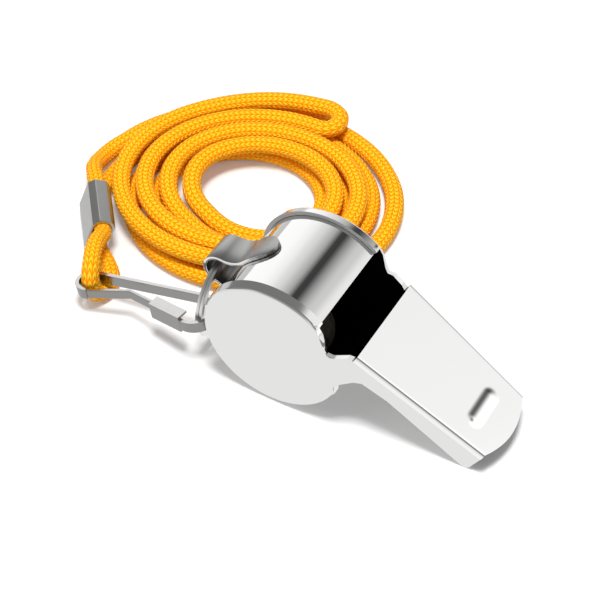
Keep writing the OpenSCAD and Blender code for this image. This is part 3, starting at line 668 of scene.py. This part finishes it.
# Pea: a ball turned from natural cork, loose in the drum, where its rolling chops the note
# into a trill.
# Natural cork, dark grey-brown and matt, with pores 0.8 mm apart and flecks of 1.4 mm.
PORES_PER_MM, FLECKS_PER_MM = 1.2, 0.7
cork, shader = new_material("natural_cork", {"Roughness": 0.85})
place = add_node(cork, "ShaderNodeTexCoord")
cells = add_node(cork, "ShaderNodeTexVoronoi", {"Scale": PORES_PER_MM / MM},
                 Vector=place.outputs["Object"])
fleck = add_node(cork, "ShaderNodeTexNoise", {"Scale": FLECKS_PER_MM / MM, "Detail": 5.0},
                 Vector=place.outputs["Object"])
ramp = add_node(cork, "ShaderNodeValToRGB", Fac=fleck.outputs[0])
two_colours(ramp, [(0.35, "#544D45"), (0.6, "#7A7166")])
bump = add_node(cork, "ShaderNodeBump", {"Strength": 0.5, "Distance": 0.1 * MM},
                Height=cells.outputs[0])
cork.node_tree.links.new(ramp.outputs[0], shader.inputs["Base Color"])
cork.node_tree.links.new(bump.outputs[0], shader.inputs["Normal"])
pea = clean_copy("pea", "cork_pea", cork, 0)
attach(pea, "pea_ball")


# Floor: a sheet of white paper under the object, which keeps its soft shadow. Metal sees it
# dimmer further off, as it does a table top in a dark studio.
FLOOR_SIZE, FLOOR_Z, FLOOR_GLOW = 3, -0.00005, 0.13
NEAR, FAR, NEAR_LEVEL, FAR_LEVEL = 0.05, 0.14, 1.0, 0.85
WHITE = (1, 1, 1, 1)
bpy.ops.object.select_all(action="DESELECT")
bpy.ops.mesh.primitive_plane_add(size=FLOOR_SIZE, location=(0, 0, FLOOR_Z))
floor = bpy.context.active_object
floor.name = "floor"
# White paper, matt: a little of its own light brings it to the photograph's clean white.
paper, shader = new_material("white_paper", {
    "Base Color": colour("#E6E6E6"), "Roughness": 0.9, "Specular IOR Level": 0.0})
seen = add_node(paper, "ShaderNodeLightPath")
place = add_node(paper, "ShaderNodeTexCoord")
distance = add_node(paper, "ShaderNodeVectorMath", {"operation": "LENGTH"},
                    i0=place.outputs["Object"])
level = add_node(paper, "ShaderNodeMapRange", {1: NEAR, 2: FAR, 3: NEAR_LEVEL, 4: FAR_LEVEL,
                 "interpolation_type": "SMOOTHSTEP"}, i0=distance.outputs["Value"])
direct = add_node(paper, "ShaderNodeMath", {"operation": "MAXIMUM"},
                  i0=seen.outputs["Is Camera Ray"], i1=seen.outputs["Is Transmission Ray"])
glow_strength = add_node(paper, "ShaderNodeMath", {"operation": "MULTIPLY", 1: FLOOR_GLOW},
                         i0=direct.outputs[0])
glow = add_node(paper, "ShaderNodeEmission", {"Color": WHITE}, Strength=glow_strength.outputs[0])
lit = add_node(paper, "ShaderNodeAddShader", i0=shader.outputs[0], i1=glow.outputs[0])
mirrored = add_node(paper, "ShaderNodeEmission", {"Color": WHITE}, Strength=level.outputs[0])
surface = add_node(paper, "ShaderNodeMixShader", Fac=seen.outputs["Is Glossy Ray"],
                   i1=lit.outputs[0], i2=mirrored.outputs[0])
output = paper.node_tree.nodes["Material Output"]
paper.node_tree.links.new(surface.outputs[0], output.inputs["Surface"])
floor.data.materials.append(paper)


# Room: white walls, dimmer as light than as background. Metal sees a studio in it instead:
# bright soft boxes behind the object, left and right of a dark gap, with the room dark above
# and in front, a paler wall low in front, and a dimmer patch where the camera stands.
ROOM_LIGHT, BACKGROUND = 0.32, 1.0
GAP_TURN = math.radians(-10)
BOXES_FROM, BOXES_FULL, RIGHT_REACH = 0.4, 0.52, 0.6    # further round on the right
DARK_LEVEL = 0.14
LOW_FULL, LOW_END, LOW_LEVEL = -0.78, -0.6, 0.42
CAMERA_WAY = Vector((-0.09, -0.86, 0.5)).normalized()
PATCH_EDGE, PATCH_FULL, PATCH_LEVEL = 0.8, 0.95, 0.9
# How bright the boxes are from the far left of the gap, -1, to its far right, 1. A ramp's
# colour stops at 1, so it holds half of each level, and all but the camera's patch doubles it.
box_levels = [(-0.75, 1.6), (-0.585, 1.42), (-0.49, 1.22), (-0.388, 1.08), (-0.28, 0.83),
              (-0.19, 0.64), (-0.1, 0.25), (-0.06, 0.08), (0.04, 0.07), (0.1, 0.2),
              (0.145, 0.35), (0.25, 0.66), (0.33, 0.88), (0.37, 0.96), (0.45, 1.0), (0.56, 1.35)]
room = bpy.data.worlds.new("white_room")
bpy.context.scene.world = room
room.use_nodes = True
seen = add_node(room, "ShaderNodeLightPath")
look = add_node(room, "ShaderNodeTexCoord")
split = add_node(room, "ShaderNodeSeparateXYZ", Vector=look.outputs["Generated"])
rightwards = add_node(room, "ShaderNodeVectorMath", {"operation": "DOT_PRODUCT",
                      1: (math.cos(GAP_TURN), math.sin(GAP_TURN), 0)},
                      i0=look.outputs["Generated"])
ramp_place = add_node(room, "ShaderNodeMapRange", {1: -1.0, 2: 1.0},
                      i0=rightwards.outputs["Value"])
boxes = add_node(room, "ShaderNodeValToRGB", Fac=ramp_place.outputs[0])
for i, (at, level) in enumerate(box_levels):
    stops = boxes.color_ramp.elements
    stop = stops[i] if i < 2 else stops.new((at + 1) / 2)
    stop.position = (at + 1) / 2
    stop.color = (level / 2, level / 2, level / 2, 1)
right_only = add_node(room, "ShaderNodeMath", {"operation": "MAXIMUM", 1: 0.0},
                      i0=rightwards.outputs["Value"])
backwards = add_node(room, "ShaderNodeMath", {"operation": "MULTIPLY_ADD", 1: RIGHT_REACH},
                     i0=right_only.outputs[0], i2=split.outputs[1])
not_behind = add_node(room, "ShaderNodeMapRange", {1: BOXES_FROM, 2: BOXES_FULL, 3: 1.0, 4: 0.0,
                      "interpolation_type": "SMOOTHSTEP"}, i0=backwards.outputs[0])
dark_room = add_node(room, "ShaderNodeMix", {"data_type": "FLOAT", 3: DARK_LEVEL},
                     i0=not_behind.outputs[0], i2=boxes.outputs[0])
low_front = add_node(room, "ShaderNodeMapRange", {1: LOW_FULL, 2: LOW_END, 3: 1.0, 4: 0.0,
                     "interpolation_type": "SMOOTHSTEP"}, i0=split.outputs[1])
walls = add_node(room, "ShaderNodeMix", {"data_type": "FLOAT", 3: LOW_LEVEL},
                 i0=low_front.outputs[0], i2=dark_room.outputs[0])
to_camera = add_node(room, "ShaderNodeVectorMath", {"operation": "DOT_PRODUCT",
                     1: tuple(CAMERA_WAY)}, i0=look.outputs["Generated"])
camera_patch = add_node(room, "ShaderNodeMapRange", {1: PATCH_EDGE, 2: PATCH_FULL,
                        3: 2.0, 4: PATCH_LEVEL, "interpolation_type": "SMOOTHSTEP"},
                        i0=to_camera.outputs["Value"])
studio = add_node(room, "ShaderNodeMath", {"operation": "MULTIPLY"},
                  i0=walls.outputs[0], i1=camera_patch.outputs[0])
direct = add_node(room, "ShaderNodeMath", {"operation": "MAXIMUM"},
                  i0=seen.outputs["Is Camera Ray"], i1=seen.outputs["Is Transmission Ray"])
plain = add_node(room, "ShaderNodeMapRange", {3: ROOM_LIGHT, 4: BACKGROUND},
                 i0=direct.outputs[0])
strength = add_node(room, "ShaderNodeMix", {"data_type": "FLOAT"},
                    i0=seen.outputs["Is Glossy Ray"], i2=plain.outputs[0], i3=studio.outputs[0])
background = room.node_tree.nodes["Background"]
background.inputs["Color"].default_value = WHITE
room.node_tree.links.new(strength.outputs[0], background.inputs["Strength"])


# Lamps: one soft box high above the whistle, a little towards the camera, and a weaker one
# in front on the left, neither of which shows in the metal.
def soft_box(name, place, size, watts):
    """A square lamp that faces the middle of the object."""
    data = bpy.data.lights.new(name, "AREA")
    data.shape = "SQUARE"
    data.size = size
    data.energy = watts
    lamp = bpy.data.objects.new(name, data)
    bpy.context.scene.collection.objects.link(lamp)
    lamp.location = place
    aim = Vector((0, 0, 0.01)) - Vector(place)
    lamp.rotation_euler = aim.to_track_quat("-Z", "Y").to_euler()
    lamp.visible_glossy = False


soft_box("soft_box_above", (0.03, -0.07, 0.6), 0.15, 3.6)
soft_box("soft_box_front", (-0.35, -0.3, 0.5), 0.4, 0.7)

bpy.context.scene.view_settings.view_transform = "Standard"
